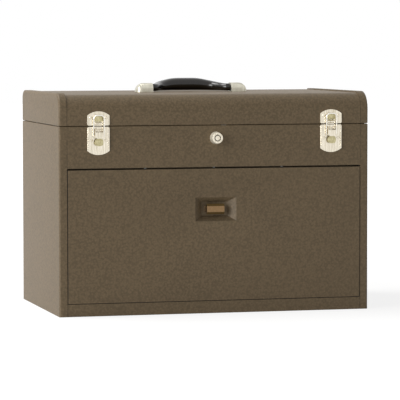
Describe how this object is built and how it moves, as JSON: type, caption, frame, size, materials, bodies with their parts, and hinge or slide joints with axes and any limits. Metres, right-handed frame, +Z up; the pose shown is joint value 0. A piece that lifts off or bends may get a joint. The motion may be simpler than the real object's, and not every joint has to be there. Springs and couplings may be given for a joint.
{
  "type": "tool chest",
  "caption": "Portable steel tool chest with felt-lined drawers behind a lift-off front cover, a hinged lid over a till, draw latches, a tubular lock and a folding top handle.",
  "frame": {"origin": "on the floor plane under the middle of the case, midway between its sides, its front face and its back", "axes": "+X to the right along the width, +Y from the front cover to the back, +Z up from the base to the handle"},
  "size_m": [0.511, 0.3221, 0.3749],
  "materials": {
    "brown_enamel": "baked wrinkle enamel, dark brown, satin",
    "nickel_steel": "nickel plate, lightly polished",
    "zinc_steel": "zinc plate, dull",
    "felt": "pressed wool felt, brown",
    "black_plastic": "moulded black plastic, glossy",
    "bronze_strap": "tan enamel, satin"
  },
  "bodies": {
    "case": {"case_shell": "brown_enamel", "front_header": "brown_enamel", "bottom_rail": "brown_enamel", "till_floor": "brown_enamel", "till_liner": "felt", "drawer_shelf": "brown_enamel", "divider_left": "brown_enamel", "divider_right": "brown_enamel", "side_runners": "zinc_steel", "hinge_case_leaf": "brown_enamel", "hinge_pin": "zinc_steel", "lock_body": "nickel_steel", "lock_nut": "zinc_steel", "latch_base_left": "nickel_steel", "latch_base_right": "nickel_steel", "stay_quadrant": "zinc_steel", "case_rivets": "nickel_steel"},
    "lid": {"lid_shell": "brown_enamel", "lid_end_left": "brown_enamel", "lid_end_right": "brown_enamel", "hinge_lid_leaf": "brown_enamel", "latch_strike_left": "nickel_steel", "latch_strike_right": "nickel_steel", "handle_cap_left": "nickel_steel", "handle_cap_right": "nickel_steel", "lid_keeper": "zinc_steel", "lid_rivets": "nickel_steel"},
    "handle": {"handle_grip": "black_plastic", "handle_pivots": "zinc_steel"},
    "stay_arm": {"stay_arm": "zinc_steel"},
    "latch_lever_left": {"latch_lever_left": "nickel_steel"},
    "latch_lever_right": {"latch_lever_right": "nickel_steel"},
    "latch_bail_left": {"latch_bail_left": "nickel_steel"},
    "latch_bail_right": {"latch_bail_right": "nickel_steel"},
    "lock": {"lock_plug": "nickel_steel", "lock_cam": "zinc_steel"},
    "lock_bar": {"lock_bar": "zinc_steel"},
    "cover": {"cover_panel": "brown_enamel", "cover_pull": "bronze_strap"},
    "drawer_1": {"drawer_1_box": "brown_enamel", "drawer_1_pull": "nickel_steel", "drawer_1_liner": "felt"},
    "drawer_2": {"drawer_2_box": "brown_enamel", "drawer_2_pull": "nickel_steel", "drawer_2_liner": "felt"},
    "drawer_3": {"drawer_3_box": "brown_enamel", "drawer_3_pull": "nickel_steel", "drawer_3_liner": "felt"},
    "drawer_4": {"drawer_4_box": "brown_enamel", "drawer_4_pull": "nickel_steel", "drawer_4_liner": "felt"},
    "drawer_5": {"drawer_5_box": "brown_enamel", "drawer_5_pull": "nickel_steel", "drawer_5_liner": "felt"},
    "drawer_6": {"drawer_6_box": "brown_enamel", "drawer_6_pull": "nickel_steel", "drawer_6_liner": "felt"},
    "drawer_7": {"drawer_7_box": "brown_enamel", "drawer_7_pull": "nickel_steel", "drawer_7_liner": "felt"}
  },
  "joints": [
    {"name": "lid_hinge", "type": "hinge", "parent": "case", "child": "lid", "pos_m": [0, 0.1552, 0.3015], "axis": [-1, 0, 0], "range_deg": [0, 100]},
    {"name": "stay_arm_pivot", "type": "hinge", "parent": "lid", "child": "stay_arm", "pos_m": [-0.2429, 0.1052, 0.3175], "axis": [-1, 0, 0], "range_deg": [-100, 0]},
    {"name": "handle_hinge", "type": "hinge", "parent": "lid", "child": "handle", "pos_m": [0, 0.008, 0.3586], "axis": [1, 0, 0], "range_deg": [0, 95]},
    {"name": "latch_lever_left_pivot", "type": "hinge", "parent": "case", "child": "latch_lever_left", "pos_m": [-0.192, -0.1581, 0.295], "axis": [-1, 0, 0], "range_deg": [0, 150]},
    {"name": "latch_bail_left_pivot", "type": "hinge", "parent": "latch_lever_left", "child": "latch_bail_left", "pos_m": [-0.192, -0.1559, 0.285], "axis": [-1, 0, 0], "range_deg": [-150, 0]},
    {"name": "latch_lever_right_pivot", "type": "hinge", "parent": "case", "child": "latch_lever_right", "pos_m": [0.192, -0.1581, 0.295], "axis": [-1, 0, 0], "range_deg": [0, 150]},
    {"name": "latch_bail_right_pivot", "type": "hinge", "parent": "latch_lever_right", "child": "latch_bail_right", "pos_m": [0.192, -0.1559, 0.285], "axis": [-1, 0, 0], "range_deg": [-150, 0]},
    {"name": "lock_turn", "type": "hinge", "parent": "case", "child": "lock", "pos_m": [0, -0.1525, 0.281], "axis": [0, 1, 0], "range_deg": [0, 90]},
    {"name": "lock_bar_slide", "type": "slide", "parent": "case", "child": "lock_bar", "axis": [0, 0, -1], "range_m": [0, 0.0062]},
    {"name": "cover_slide", "type": "slide", "parent": "case", "child": "cover", "axis": [0, -1, 0], "range_m": [0, 0.4]},
    {"name": "drawer_1_slide", "type": "slide", "parent": "case", "child": "drawer_1", "axis": [0, -1, 0], "range_m": [0, 0.23]},
    {"name": "drawer_2_slide", "type": "slide", "parent": "case", "child": "drawer_2", "axis": [0, -1, 0], "range_m": [0, 0.23]},
    {"name": "drawer_3_slide", "type": "slide", "parent": "case", "child": "drawer_3", "axis": [0, -1, 0], "range_m": [0, 0.23]},
    {"name": "drawer_4_slide", "type": "slide", "parent": "case", "child": "drawer_4", "axis": [0, -1, 0], "range_m": [0, 0.23]},
    {"name": "drawer_5_slide", "type": "slide", "parent": "case", "child": "drawer_5", "axis": [0, -1, 0], "range_m": [0, 0.23]},
    {"name": "drawer_6_slide", "type": "slide", "parent": "case", "child": "drawer_6", "axis": [0, -1, 0], "range_m": [0, 0.23]},
    {"name": "drawer_7_slide", "type": "slide", "parent": "case", "child": "drawer_7", "axis": [0, -1, 0], "range_m": [0, 0.23]}
  ],
  "couplings": [
    {"joint": "stay_arm_pivot", "follows": "lid_hinge", "ratio": -1},
    {"joint": "latch_bail_left_pivot", "follows": "latch_lever_left_pivot", "ratio": -1},
    {"joint": "latch_bail_right_pivot", "follows": "latch_lever_right_pivot", "ratio": -1},
    {"joint": "lock_bar_slide", "follows": "lock_turn", "m_per_rad": 0.0038714},
    {"joint": "drawer_1_slide", "follows": "cover_slide", "ratio": 0.575},
    {"joint": "drawer_2_slide", "follows": "cover_slide", "ratio": 0.575},
    {"joint": "drawer_3_slide", "follows": "cover_slide", "ratio": 0.575},
    {"joint": "drawer_4_slide", "follows": "cover_slide", "ratio": 0.575},
    {"joint": "drawer_5_slide", "follows": "cover_slide", "ratio": 0.575},
    {"joint": "drawer_6_slide", "follows": "cover_slide", "ratio": 0.575},
    {"joint": "drawer_7_slide", "follows": "cover_slide", "ratio": 0.575}
  ]
}
